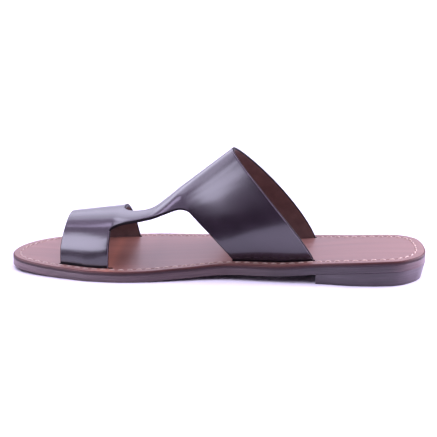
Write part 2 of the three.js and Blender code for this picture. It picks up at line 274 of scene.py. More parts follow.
def relief(tree, shader, pattern, strength, depth, **beneath):
    """Fine relief that follows a pattern, up to a depth in millimetres, over any relief beneath it."""
    bump = node(tree, "ShaderNodeBump", Height=pattern, Strength=strength, Distance=depth * MM, **beneath)
    tree.links.new(bump.outputs["Normal"], shader.inputs["Normal"])
    return bump.outputs["Normal"]


def edge_finish(name, colours, tones=None, wax=0.25, shine=0.55):
    """Dyed and waxed cut edge of leather, with fine fibre lines along its length."""
    material, tree, shader = new_finish(name, Coat_Weight=wax, Coat_Roughness=0.3, Specular_IOR_Level=shine)
    plan = node(tree, "ShaderNodeUVMap", {"uv_map": "plan"}).outputs["UV"]
    along = node(tree, "ShaderNodeMapping", Vector=plan, Scale=(38, 1900, 1)).outputs["Vector"]
    fibres = noise(tree, along, scale=1, detail=4, roughness=0.6)
    colour = colour_ramp(tree, fibres, colours)
    if tones:
        colour = toned(tree, colour, tones)
    tree.links.new(colour, shader.inputs["Base Color"])
    gloss_between(tree, shader, fibres, 0.36, 0.56)
    relief(tree, shader, fibres, strength=0.5, depth=0.06)
    return material


def underside_finish(name, colours):
    """Ground face of sole leather: matt, with a fine close grain and a few long scuffs."""
    material, tree, shader = new_finish(name, Specular_IOR_Level=0.4)
    place = node(tree, "ShaderNodeTexCoord").outputs["Object"]
    scuffs = node(tree, "ShaderNodeMapping", Vector=place, Scale=(30, 260, 30)).outputs["Vector"]
    marks = noise(tree, scuffs, scale=1, detail=5)
    tree.links.new(colour_ramp(tree, marks, colours), shader.inputs["Base Color"])
    gloss_between(tree, shader, marks, 0.5, 0.75)
    grain = noise(tree, place, scale=1800, detail=3)
    relief(tree, shader, grain, strength=0.4, depth=0.1)
    return material


def insole_bottom(x):
    return footbed(x) - INSOLE_THICKNESS


def outsole_top(x):
    return insole_bottom(x) - GLUE_LINE


def outsole_bottom(x):
    return insole_bottom(x) - SEAM_GAP - OUTSOLE_THICKNESS


def raised_by(surface, rise):
    return lambda x: surface(x) + rise


def rounded_edge(surface, radius, facing):
    """Rings of a rounded corner between edge and face: facing is 1 for a top face, -1 for a bottom."""
    rings = []
    for angle in np.radians(ROUND_DEGREES):
        inset = radius * (1 - math.cos(angle))
        drop = radius * (1 - math.sin(angle))
        rings.append((inset, raised_by(surface, -facing * drop)))
    return rings if facing > 0 else rings[::-1]


whole_turns = np.linspace(0, np.pi, SOLE_STATIONS + 1)
outsole_rings = rounded_edge(outsole_bottom, OUTSOLE_BOTTOM_ROUND, -1)
outsole_rings += rounded_edge(outsole_top, OUTSOLE_TOP_ROUND, 1)
outsole_grids = sole_grids(
    whole_turns, outsole_rings, SOLE_CROSS_STEPS, SOLE_EDGE, SOLE_EDGE, SOLE_UNDERSIDE)
outsole_mesh = mesh_from_grids("outsole", outsole_grids)
outsole_edge = edge_finish("waxed outsole edge", OUTSOLE_EDGE_COLOURS, OUTSOLE_PAINTED_LIGHT_AND_SHADE, wax=0.15, shine=0.48)
outsole_underside = underside_finish("outsole underside", OUTSOLE_UNDERSIDE_COLOURS)
place_piece("outsole_leather", outsole_mesh, [outsole_edge, outsole_underside], "outsole")

# Heel: a low lift of the same sole leather, glued under the outsole, with a straight breast.
# Its edge is sanded and waxed with the outsole's. It leans in at the back and is a little bluer.
HEEL_BREAST_STATION = 67
HEEL_ROUND = 0.7
HEEL_SIDE_TAPER = 0.4
HEEL_BACK_TAPER = 2.5
HEEL_TAPER_POWER = 6
HEEL_STATIONS = 110
HEEL_EDGE_COLOURS = [
    (0.3, (0.021, 0.012, 0.017)), (0.5, (0.041, 0.024, 0.033)), (0.7, (0.063, 0.042, 0.054)),
]
# Painted reflection: the heel's edge is lighter towards its back end, where it turns to face the lights
# behind
HEEL_PAINTED_REFLECTION = [(HEEL_BREAST_STATION, 1.0), (115, 1.0), (134, 1.8)]


def ground(x):
    return np.zeros_like(x)


def heel_top(x):
    return outsole_bottom(x) - GLUE_LINE


heel_turns = np.linspace(turn_of(HEEL_BREAST_STATION), np.pi, HEEL_STATIONS + 1)
back_share = np.cos(heel_turns) ** HEEL_TAPER_POWER
heel_taper = HEEL_SIDE_TAPER + (HEEL_BACK_TAPER - HEEL_SIDE_TAPER) * back_share
heel_rings = [(inset + heel_taper, height) for inset, height in rounded_edge(ground, HEEL_ROUND, -1)]
heel_rings += rounded_edge(heel_top, OUTSOLE_TOP_ROUND, 1)
heel_grids = sole_grids(heel_turns, heel_rings, SOLE_CROSS_STEPS, SOLE_EDGE, SOLE_EDGE, SOLE_UNDERSIDE)
heel_mesh = mesh_from_grids("heel", heel_grids)
heel_edge = edge_finish("waxed heel edge", HEEL_EDGE_COLOURS, HEEL_PAINTED_REFLECTION)
heel_underside = underside_finish("heel underside", OUTSOLE_UNDERSIDE_COLOURS)
place_piece("heel_leather", heel_mesh, [heel_edge, heel_underside], "heel")

# Insole: satin reddish brown leather under the foot, with a shallow channel for the seam near its edge.
# Four slots take the ends of the straps. Its top corner is rounded and its edge dyed with the sole's.
INSOLE_ROUND = 0.9
INSOLE_CROSS_STEPS = 72
SEAM_INSET_TOE = 5.0
SEAM_INSET_HEEL = 6.3
CHANNEL_DEPTH = 0.32
CHANNEL_HALF_WIDTH = 0.8
CHANNEL_POWER = 1.5
CHANNEL_STEPS = np.array([-1.5, -1.1, -0.8, -0.6, -0.4, -0.2, 0, 0.2, 0.4, 0.6, 0.8, 1.1])
UPPER_THICKNESS = 2.2
MEDIAL_STRAP_INSET = 8
LATERAL_STRAP_INSET = 7
SLOT_SPARE_LENGTH = 0.8
TOE_SLOT_BACK_SPARE = 3
SLOT_STEPS = 13
FOOT_STEP = 0.1
TOE_STRAP = (0, 32)
INSTEP_STRAP = (81, 125)
# Ribs across the upper, at places along it from front to back: where its feet and its crest lie, how square
# the rib is, and how it leans along the foot, drifts to one side and swells out as it rises
RIBS = {
    "along": [0, 32, 45, 57, 69, 81, 125],
    "medial station": [-104.3, -70.7, -52, -32, -10.5, 11.7, 65.6],
    "lateral station": [-95, -59, -43, -26, -8, 11, 65.8],
    "crest station": [-101.6, -70.2, -57, -44.8, -34.2, -25, 9.9],
    "crest side": [-6, -7.5, -9.5, -10.2, -9.8, -8.7, -6.9],
    "crest height": [35.8, 39.3, 40.7, 43.2, 49.6, 56.6, 83.7],
    "square": [2.4, 2.6, 3.7, 4, 3.4, 2.6, 2.3],
    "lean": [3.5, 1.2, 1.15, 1.1, 1.07, 1.05, 1.2],
    "drift": [2.5, 2.5, 2.2, 2, 2, 2, 2],
    "swell": [0, 0, 0.04, 0.08, 0.1, 0.12, 0.18],
}
RIBS["medial side"] = medial_edge(turn_of(RIBS["medial station"])) + MEDIAL_STRAP_INSET
RIBS["lateral side"] = lateral_edge(turn_of(RIBS["lateral station"])) - LATERAL_STRAP_INSET
# Places of the insole's finishes in its list of materials
INSOLE_FACE = 0
INSOLE_EDGE = 1
SLOT_WALL = 2
INSOLE_COLOURS = [
    (0.25, (0.180, 0.076, 0.060)), (0.5, (0.235, 0.105, 0.085)), (0.75, (0.290, 0.140, 0.117)),
]
# Painted light and shade along the insole: a warm glow of bounce light just behind the toe strap, shade
# under the bridge
INSOLE_PAINTED_LIGHT_AND_SHADE = [
    (-140, 1.0), (-84, 1.05), (-71, (1.55, 1.3, 1.1)), (-66, (0.95, 0.84, 0.78)),
    (-62, (0.92, 0.82, 0.77)), (-57, 0.95), (-42, 0.72), (-15, 0.84),
    (5, 0.92), (50, 0.86), (100, 0.85), (140, 0.95),
]
INSOLE_EDGE_COLOURS = [
    (0.0, (0.050, 0.026, 0.036)), (0.5, (0.032, 0.008, 0.009)), (1.0, (0.085, 0.022, 0.020)),
]
# The slot walls are near black: painted shade inside each slot
SLOT_PAINTED_SHADE_COLOURS = [(0.3, (0.010, 0.006, 0.006)), (0.7, (0.022, 0.012, 0.011))]
rib = {name: curve_through(RIBS["along"], column) for name, column in RIBS.items()}


def seam_inset(turns):
    return SEAM_INSET_TOE + (SEAM_INSET_HEEL - SEAM_INSET_TOE) * turns / np.pi


def strap_foot(side, along):
    """Where the outer face of the upper goes into the insole, on the medial (-1) or lateral (1) side."""
    name = "medial" if side < 0 else "lateral"
    x = rib[name + " station"](along)
    y = rib[name + " side"](along)
    return np.stack(np.broadcast_arrays(x, y, footbed(x)), axis=-1)


def foot_run(side, along):
    """Level direction of a strap's foot towards the heel."""
    run = strap_foot(side, along + FOOT_STEP) - strap_foot(side, along - FOOT_STEP)
    run[..., 2] = 0
    return run / np.linalg.norm(run, axis=-1, keepdims=True)


def foot_outward(side, along):
    run = foot_run(side, along)
    return np.stack([-run[..., 1], run[..., 0], np.zeros_like(run[..., 0])], axis=-1) * side


def slot_cutter(side, strap):
    """Upright block the size of one slot in the insole."""
    along = np.linspace(*strap, SLOT_STEPS)
    middle = strap_foot(side, along) - foot_outward(side, along) * UPPER_THICKNESS / 2
    run = foot_run(side, along)
    middle[0] -= run[0] * SLOT_SPARE_LENGTH
    longer = side < 0 and strap == TOE_STRAP
    middle[-1] += run[-1] * (TOE_SLOT_BACK_SPARE if longer else SLOT_SPARE_LENGTH)
    half = foot_outward(side, along) * (UPPER_THICKNESS / 2 + SEAM_GAP)
    up = np.array([0, 0, INSOLE_THICKNESS * 2])
    section = np.array([middle - half - up, middle + half - up, middle + half + up, middle - half + up])
    walls = np.concatenate([section, section[:1]])
    ends = [np.array([[section[0, i], section[1, i]], [section[3, i], section[2, i]]]) for i in (0, -1)]
    grids = [(grid, np.zeros((*grid.shape[:2], 2)), SLOT_WALL) for grid in [walls, *ends]]
    return mesh_from_grids("slot", grids)


insole_rings = rounded_edge(insole_bottom, OUTSOLE_TOP_ROUND, -1) + rounded_edge(footbed, INSOLE_ROUND, 1)
edge_ring_count = len(insole_rings)
for step in CHANNEL_STEPS:
    depth = CHANNEL_DEPTH * max(1 - (step / CHANNEL_HALF_WIDTH) ** 2, 0) ** CHANNEL_POWER
    insole_rings.append((seam_inset(whole_turns) + step, raised_by(footbed, -depth)))
insole_grids = sole_grids(
    whole_turns, insole_rings, INSOLE_CROSS_STEPS, INSOLE_EDGE, INSOLE_FACE, INSOLE_EDGE)
# Past the rounded edge, the rings of the medial and the lateral side belong to the face
for i in (0, 1):
    points, pattern, _ = insole_grids[i]
    insole_grids[i] = (points[:edge_ring_count], pattern[:edge_ring_count], INSOLE_EDGE)
    insole_grids.append((points[edge_ring_count - 1:], pattern[edge_ring_count - 1:], INSOLE_FACE))
insole_mesh = mesh_from_grids("insole", insole_grids)


def cut_slots(mesh, materials):
    """The insole with the four slots for the strap ends cut through it."""
    for material in materials:
        mesh.materials.append(material)
    body = bpy.data.objects.new("uncut insole", mesh)
    bpy.context.scene.collection.objects.link(body)
    cutters = []
    for side in (-1, 1):
        for strap in (TOE_STRAP, INSTEP_STRAP):
            cutter = bpy.data.objects.new("slot", slot_cutter(side, strap))
            bpy.context.scene.collection.objects.link(cutter)
            for material in materials:
                cutter.data.materials.append(material)
            cut = body.modifiers.new("slot", "BOOLEAN")
            cut.operation = "DIFFERENCE"
            cut.solver = "EXACT"
            cut.object = cutter
            cutters.append(cutter)
    ready = body.evaluated_get(bpy.context.evaluated_depsgraph_get())
    result = bpy.data.meshes.new_from_object(ready)
    for spare in [body, *cutters]:
        bpy.data.objects.remove(spare)
    return result


def insole_finish(name, colours, tones):
    """Satin leather with lengthwise streaks and a fine grain, toned along the sole with painted light and
    shade.
    """
    material, tree, shader = new_finish(
        name, Coat_Weight=0.14, Coat_Roughness=0.28, Specular_IOR_Level=0.55)
    place = node(tree, "ShaderNodeTexCoord").outputs["Object"]
    long = node(tree, "ShaderNodeMapping", Vector=place, Scale=(7, 150, 20)).outputs["Vector"]
    streaks = noise(tree, long, scale=1, detail=5, roughness=0.55)
    colour = toned(tree, colour_ramp(tree, streaks, colours), tones)
    tree.links.new(colour, shader.inputs["Base Color"])
    gloss_between(tree, shader, streaks, 0.34, 0.5)
    grain = noise(tree, place, scale=1300, detail=4, roughness=0.6)
    fine = relief(tree, shader, grain, strength=0.25, depth=0.08)
    relief(tree, shader, streaks, strength=0.3, depth=0.4, Normal=fine)
    return material


def insole_edge_finish(name, colours):
    """Cut edge of the insole: leather red at its rounded top, dyed like the sole lower down."""
    material, tree, shader = new_finish(name, Specular_IOR_Level=0.28)
    plan = node(tree, "ShaderNodeUVMap", {"uv_map": "plan"}).outputs["UV"]
    rise = node(tree, "ShaderNodeSeparateXYZ", Vector=plan).outputs["Y"]
    height = node(tree, "ShaderNodeMapRange", Value=rise, From_Max=INSOLE_THICKNESS * MM).outputs["Result"]
    along = node(tree, "ShaderNodeMapping", Vector=plan, Scale=(60, 1900, 1)).outputs["Vector"]
    fibres = noise(tree, along, scale=1, detail=4)
    uneven = node(tree, "ShaderNodeMapRange", Value=fibres, To_Min=-0.2, To_Max=0.2).outputs["Result"]
    blend = node(tree, "ShaderNodeMath", {"operation": "ADD"}, height, uneven).outputs["Value"]
    tree.links.new(colour_ramp(tree, blend, colours), shader.inputs["Base Color"])
    gloss_between(tree, shader, fibres, 0.38, 0.55)
    relief(tree, shader, fibres, strength=0.4, depth=0.05)
    return material


insole_finishes = [
    insole_finish("satin insole leather", INSOLE_COLOURS, INSOLE_PAINTED_LIGHT_AND_SHADE),
    insole_edge_finish("dyed insole edge", INSOLE_EDGE_COLOURS),
    edge_finish("slot wall in painted shade", SLOT_PAINTED_SHADE_COLOURS, wax=0, shine=0.1),
]
place_piece("insole_leather", cut_slots(insole_mesh, insole_finishes), [], "insole")

# Upper: one H-shaped piece of smooth dark leather, a toe strap and an instep strap joined by a bridge.
# It is cut in one, its edges are painted, and it is bent over a last and pulled down into the slots.
# The grain side is polished; the flesh side, which shows inside the straps, is a reddish brown.
# Edges of the bridge, at places along the sheet: -1 is the medial foot and 1 the lateral one
BRIDGE = {
    "along": [32, 45, 53, 61, 69, 75, 81],
    "medial": [-0.48, -0.457, -0.458, -0.49, -0.517, -0.512, -0.507],
    "lateral": [0.06, -0.065, -0.1, -0.08, -0.01, 0.04, 0.08],
}
BRIDGE_MM_ACROSS = 58
PATTERN_MM_ACROSS = 70
# Each pair is for the medial and the lateral cut-out
TOE_FILLETS = (4, 6)
INSTEP_FILLETS = (5, 9)
TOE_SWEEPS = (0, 6.2)
INSTEP_SWEEPS = (3.5, 0)
SWEEP_POWER = 1.5
EDGE_ROUND = 0.55
RIM_DEGREES = [0, 22.5, 45, 67.5, 90]
# Soft swells of the straps, and one hollow: places and spreads on the sheet, and heights
SOFT_FORMS = {
    "across": [-0.62, -0.66, -0.78, -0.80],
    "along": [105, 128, 76, 16],
    "spread across": [0.25, 0.22, 0.17, 0.16],
    "spread along": [16, 13, 12, 40],
    "height": [0.9, 0.7, -0.8, 0.5],
}
SLOT_DEPTH = INSOLE_THICKNESS - SEAM_GAP
BELOW_FOOT = 0.03
NEAR_FOOT = 0.998
# Height of the painted shade along the foot of each strap
FOOT_SHADE_HEIGHT = 1.8
SLOT_ROWS = 3
MEDIAL_ROWS = 64
BRIDGE_ROWS = 30
LATERAL_ROWS = 84
TOE_STEPS = 36
BRIDGE_STEPS = 30
INSTEP_STEPS = 45
FILLET_STEPS = 16
# Places of the upper's finishes in its list of materials
GRAIN_SIDE = 0
PAINTED_EDGE = 1
FLESH_SIDE = 2
GLINT_CORNER = 3
LEATHER_COLOURS = [(0.3, (0.0148, 0.0068, 0.0140)), (0.7, (0.0218, 0.0101, 0.0199))]
FLESH_COLOURS = [(0.25, (0.074, 0.028, 0.024)), (0.75, (0.134, 0.059, 0.047))]
# A light lilac colour on the straps' back corners: a painted glint along the edge
PAINTED_GLINT_COLOURS = [(0.3, (0.20, 0.15, 0.18)), (0.7, (0.34, 0.27, 0.31))]
PAINT_COLOURS = [(0.3, (0.006, 0.004, 0.005)), (0.7, (0.014, 0.009, 0.012))]
bridge_edge = [curve_through(BRIDGE["along"], BRIDGE[side]) for side in ("medial", "lateral")]


def arch(across, along):
    """Outer face of the upper. Across runs from -1 at the medial foot over the crest to 1 at the other."""
    square = rib["square"](along)
    reach = np.cos((1 + across) * np.pi / 2)
    rise = np.clip(1 - np.abs(reach) ** square, 0, 1) ** (1 / square)
    medial = strap_foot(-1, along)
    lateral = strap_foot(1, along)
    base = medial + (lateral - medial) * ((1 - reach) / 2)[..., None]
    middle = (medial[..., 1] + lateral[..., 1]) / 2
    half = (lateral[..., 1] - medial[..., 1]) / 2 * (1 + 4 * rib["swell"](along) * rise * (1 - rise))
    x = base[..., 0] + (rib["crest station"](along) - base[..., 0]) * rise ** rib["lean"](along)
    y = middle + (rib["crest side"](along) - middle) * rise ** rib["drift"](along) - half * reach
    z = base[..., 2] + (rib["crest height"](along) - base[..., 2]) * rise
    return np.stack([x, y, z], axis=-1)


def arch_outward(across, along):
    across_step = 1e-3
    along_step = 0.05
    across_run = arch(across + across_step, along) - arch(across - across_step, along)
    along_run = arch(across, along + along_step) - arch(across, along - along_step)
    outward = np.cross(along_run, across_run)
    return outward / np.linalg.norm(outward, axis=-1, keepdims=True)


def sheet(across, along):
    """Outer face and its outward direction. Past a foot the sheet goes straight down into its slot."""
    inside = np.clip(across, -1, 1)
    side = np.sign(across)
    below = (np.abs(across) - np.abs(inside)) / BELOW_FOOT * SLOT_DEPTH
    points = arch(inside, along)
    points[..., 2] -= below
    outward = arch_outward(np.clip(across, -NEAR_FOOT, NEAR_FOOT), along)
    foot = np.where((side < 0)[..., None], foot_outward(-1, along), foot_outward(1, along))
    outward = np.where((np.abs(across) >= 1)[..., None], foot, outward)
    for at_across, at_along, wide_across, wide_along, height in zip(*SOFT_FORMS.values()):
        away = ((across - at_across) / wide_across) ** 2 + ((along - at_along) / wide_along) ** 2
        points = points + outward * (height * np.exp(-away))[..., None]
    return points, outward


def strap_edges(side, across):
    """Back edge of the toe strap and front edge of the instep strap, at places across the sheet."""
    sweep = np.clip(1 - np.square(across), 0, None) ** SWEEP_POWER
    return TOE_STRAP[1] + TOE_SWEEPS[side] * sweep, INSTEP_STRAP[0] - INSTEP_SWEEPS[side] * sweep


def cut_out(side):
    """Line of one cut-out along the bridge, from the toe strap to the instep strap, with rounded corners.
    It lies inside the leather's edge by the radius of that edge."""
    outward = -1 if side == 0 else 1
    radii = TOE_FILLETS[side] + EDGE_ROUND, INSTEP_FILLETS[side] + EDGE_ROUND
    ends = []
    for i, (strap, fillet) in enumerate(((TOE_STRAP[1], TOE_FILLETS), (INSTEP_STRAP[0], INSTEP_FILLETS))):
        corner = bridge_edge[side](strap) + outward * fillet[side] / BRIDGE_MM_ACROSS
        ends.append(strap_edges(side, corner)[i] + (-EDGE_ROUND if i == 0 else EDGE_ROUND))
    corner_turn = np.linspace(0, np.pi / 2, FILLET_STEPS)
    toe_corner, instep_corner = (radius * (1 - np.cos(corner_turn)) for radius in radii)
    along = np.concatenate([
        ends[0] + toe_corner,
        np.linspace(ends[0] + radii[0], ends[1] - radii[1], BRIDGE_STEPS)[1:-1],
        (ends[1] - instep_corner)[::-1],
    ])
    reach = np.full_like(along, -EDGE_ROUND)
    for distance, radius in zip((along - ends[0], ends[1] - along), radii):
        short = np.clip(radius - distance, 0, radius)
        reach = np.maximum(reach, radius - np.sqrt(radius ** 2 - short ** 2) - EDGE_ROUND)
    return bridge_edge[side](along) + outward * reach / BRIDGE_MM_ACROSS, along


def strap_rows(medial, lateral):
    """Rows across a strap, with the bridge's own rows between the two given places where it joins."""
    slot = np.arange(SLOT_ROWS, 0, -1) / SLOT_ROWS * BELOW_FOOT
    return np.concatenate([
        -1 - slot,
        np.linspace(-1, medial, MEDIAL_ROWS, endpoint=False),
        np.linspace(medial, lateral, BRIDGE_ROWS, endpoint=False),
        np.linspace(lateral, 1, LATERAL_ROWS),
        1 + slot[::-1],
    ])


bridge_first = SLOT_ROWS + MEDIAL_ROWS
medial_rows = slice(0, bridge_first)
lateral_rows = slice(bridge_first + BRIDGE_ROWS + 1, None)
every = slice(None)
cut_outs = [cut_out(0), cut_out(1)]
bridge_share = np.linspace(0, 1, BRIDGE_ROWS + 1)[:, None]
bridge_sheet = [
    medial * (1 - bridge_share) + lateral * bridge_share for medial, lateral in zip(*cut_outs)
]


def strap_sheet(column, outer_edge, steps):
    """Rows and columns of a strap from its outer edge to the cut-outs, joined to one end of the bridge."""
    rows = strap_rows(bridge_sheet[0][0, column], bridge_sheet[0][-1, column])
    inward = EDGE_ROUND if column == 0 else -EDGE_ROUND
    inner = np.concatenate([
        strap_edges(0, rows[medial_rows])[column] - inward,
        bridge_sheet[1][:, column],
        strap_edges(1, rows[lateral_rows])[column] - inward,
    ])
    share = np.linspace(0, 1, steps)
    along = (outer_edge + inward) * (1 - share) + inner[:, None] * share
    return [np.broadcast_to(rows[:, None], along.shape), along]


toe_sheet = strap_sheet(0, TOE_STRAP[0], TOE_STEPS)
instep_sheet = [grid[:, ::-1] for grid in strap_sheet(-1, INSTEP_STRAP[1], INSTEP_STEPS)]

# The rim's section turns from the outer face round to the inner one: reach past the face, and depth
rim_turn = np.radians(RIM_DEGREES)
rim_reach = EDGE_ROUND * np.concatenate([np.sin(rim_turn), np.sin(rim_turn)[::-1]])
rim_depth = np.concatenate([
    EDGE_ROUND * (1 - np.cos(rim_turn)),
    UPPER_THICKNESS - EDGE_ROUND * (1 - np.cos(rim_turn[::-1])),
])


def face_grids(across, along):
    """Outer and inner face of one part of the upper."""
    points, outward = sheet(across, along)
    pattern = np.stack([across * PATTERN_MM_ACROSS, along], axis=-1)
    return [(points, pattern, GRAIN_SIDE), (points - outward * UPPER_THICKNESS, pattern, FLESH_SIDE)]


def rim_points(across, along, leather_side):
    """Rounded cut edge along a line of the sheet. The leather lies towards the given line beside it."""
    points, outward = sheet(across, along)
    beside, _ = sheet(*leather_side)
    run = np.gradient(points, axis=0)
    away = np.cross(run, outward)
    away /= np.linalg.norm(away, axis=-1, keepdims=True)
    away *= -np.sign(np.sum(away * (beside - points), axis=-1, keepdims=True))
    return points + away * rim_reach[:, None, None] - outward * rim_depth[:, None, None]


def line_of(grid, rows, columns):
    return [np.array(values)[rows, columns] for values in grid]


def backwards(line):
    return [values[::-1] for values in line]


def cut_out_line(side, step):
    """Line along one cut-out, from the toe strap over the bridge to the instep strap. Step 0 is the edge
    itself, and step 1 the line of leather beside it."""
    rows = lateral_rows if side else medial_rows
    toe = line_of(toe_sheet, rows, -1 - step)
    bridge = line_of(bridge_sheet, -1 - step if side else step, every)
    instep = line_of(instep_sheet, rows, step)
    lines = (backwards(toe), bridge, instep) if side else (toe, bridge, backwards(instep))
    return [np.concatenate(values) for values in zip(*lines)]


# Each rim has its line, the line beside it, and the stretch where its outer corner carries a painted glint:
# the back edge of the instep strap, and that of the toe strap on the medial side
rims = [
    (line_of(toe_sheet, every, 0), line_of(toe_sheet, every, 1), []),
    (line_of(instep_sheet, every, -1), line_of(instep_sheet, every, -2), every),
    (cut_out_line(0, 0), cut_out_line(0, 1), medial_rows),
    (cut_out_line(1, 0), cut_out_line(1, 1), []),
]
upper_grids = []
for across, along in (toe_sheet, bridge_sheet, instep_sheet):
    upper_grids += face_grids(across, along)
depth_share = (rim_depth / UPPER_THICKNESS)[:, None, None]
for line, beside, glinting in rims:
    rim = rim_points(*line, beside)
    pattern = np.stack(np.meshgrid(rim_depth, length_along(rim[0]), indexing="ij")[::-1], axis=-1)
    rim_material = np.full(np.array(rim.shape[:2]) - 1, PAINTED_EDGE)
    rim_material[0, glinting] = GLINT_CORNER
    upper_grids.append((rim, pattern, rim_material))
    for end in (0, -1):
        corner = np.array([rim[:, end], rim[0, end] + (rim[-1, end] - rim[0, end]) * depth_share[:, 0]])
        upper_grids.append((corner, np.zeros((*corner.shape[:2], 2)), PAINTED_EDGE))
for across, along in (toe_sheet, instep_sheet):
    for row in (0, -1):
        points, outward = sheet(across[row], along[row])
        strap_end = points - outward * UPPER_THICKNESS * depth_share
        upper_grids.append((strap_end, np.zeros((*strap_end.shape[:2], 2)), PAINTED_EDGE))
upper_mesh = mesh_from_grids("upper", upper_grids)

# A narrow line of the outer face, where each strap goes into the insole, takes the near-black edge paint as
# painted shade
centres = np.zeros(len(upper_mesh.polygons) * 3)
upper_mesh.polygons.foreach_get("center", centres)
centres = centres.reshape(-1, 3) / MM
material_indices = np.zeros(len(upper_mesh.polygons), int)
upper_mesh.polygons.foreach_get("material_index", material_indices)
in_foot_shade = (material_indices == GRAIN_SIDE) & (centres[:, 2] - footbed(centres[:, 0]) < FOOT_SHADE_HEIGHT)
upper_mesh.polygons.foreach_set("material_index", np.where(in_foot_shade, PAINTED_EDGE, material_indices))


def polished_finish(name, colours):
    """Smooth grain side: dark dye under a thin wax polish, with very fine pores."""
    material, tree, shader = new_finish(
        name, Specular_IOR_Level=0.6, Coat_Weight=0.6, Coat_Roughness=0.15)
    plan = node(tree, "ShaderNodeUVMap", {"uv_map": "plan"}).outputs["UV"]
    patches = noise(tree, plan, scale=60, detail=4)
    tree.links.new(colour_ramp(tree, patches, colours), shader.inputs["Base Color"])
    gloss_between(tree, shader, patches, 0.21, 0.29)
    pores = node(tree, "ShaderNodeTexVoronoi", Vector=plan, Scale=1500).outputs["Distance"]
    relief(tree, shader, pores, strength=0.12, depth=0.05)
    return material


def flesh_finish(name, colours):
    """Flesh side of the leather: a short close nap in a reddish brown."""
    material, tree, shader = new_finish(
        name, Specular_IOR_Level=0.4, Sheen_Weight=0.15, Sheen_Roughness=0.4)
    place = node(tree, "ShaderNodeTexCoord").outputs["Object"]
    nap = noise(tree, place, scale=160, detail=6, roughness=0.65)
    tree.links.new(colour_ramp(tree, nap, colours), shader.inputs["Base Color"])
    gloss_between(tree, shader, nap, 0.5, 0.7)
    fibres = noise(tree, place, scale=1600, detail=3)
    relief(tree, shader, fibres, strength=0.35, depth=0.1)
    return material


upper_finishes = [
    polished_finish("polished aubergine leather", LEATHER_COLOURS),
    edge_finish("painted strap edge", PAINT_COLOURS, wax=0, shine=0.06),
    flesh_finish("reddish flesh side", FLESH_COLOURS),
    edge_finish("back corner with painted glint", PAINTED_GLINT_COLOURS, wax=0, shine=0.4),
]
place_piece("upper_leather", upper_mesh, upper_finishes, "upper")

# Seam thread: waxed cream linen that sews the insole to the outsole all round, in a channel near the edge.
# Each stitch comes up through one hole, lies slightly aslant on the leather and goes down the next.
STITCH_PITCH = 6.0
STITCH_LENGTH = 4.9
STITCH_LIFT = 0.75
STITCH_SINK = 0.7
STITCH_SLANT_DEGREES = 7
STITCH_UNEVEN_DEGREES = 4
STITCH_SEED = 5
STITCH_STEPS = 8
THREAD_RADIUS = 0.48
THREAD_SIDES = 7
# Painted shade along the seam: the thread is darker from the toe to the waist and full bright towards the
# heel end
THREAD_PAINTED_SHADE = [(-140, 0.75), (40, 0.8), (100, 1.0)]
THREAD_COLOURS = [(0.3, (0.56, 0.38, 0.31)), (0.7, (0.76, 0.56, 0.48))]


def thread_finish(name, colours, tones):
    """Waxed linen thread, with the twist of its plies."""
    material, tree, shader = new_finish(name, Roughness=0.55, Specular_IOR_Level=0.45, Coat_Weight=0.15)
    place = node(tree, "ShaderNodeTexCoord").outputs["Object"]
    plies = noise(tree, place, scale=900, detail=3)
    tree.links.new(toned(tree, colour_ramp(tree, plies, colours), tones), shader.inputs["Base Color"])
    relief(tree, shader, plies, strength=0.5, depth=0.1)
    return material


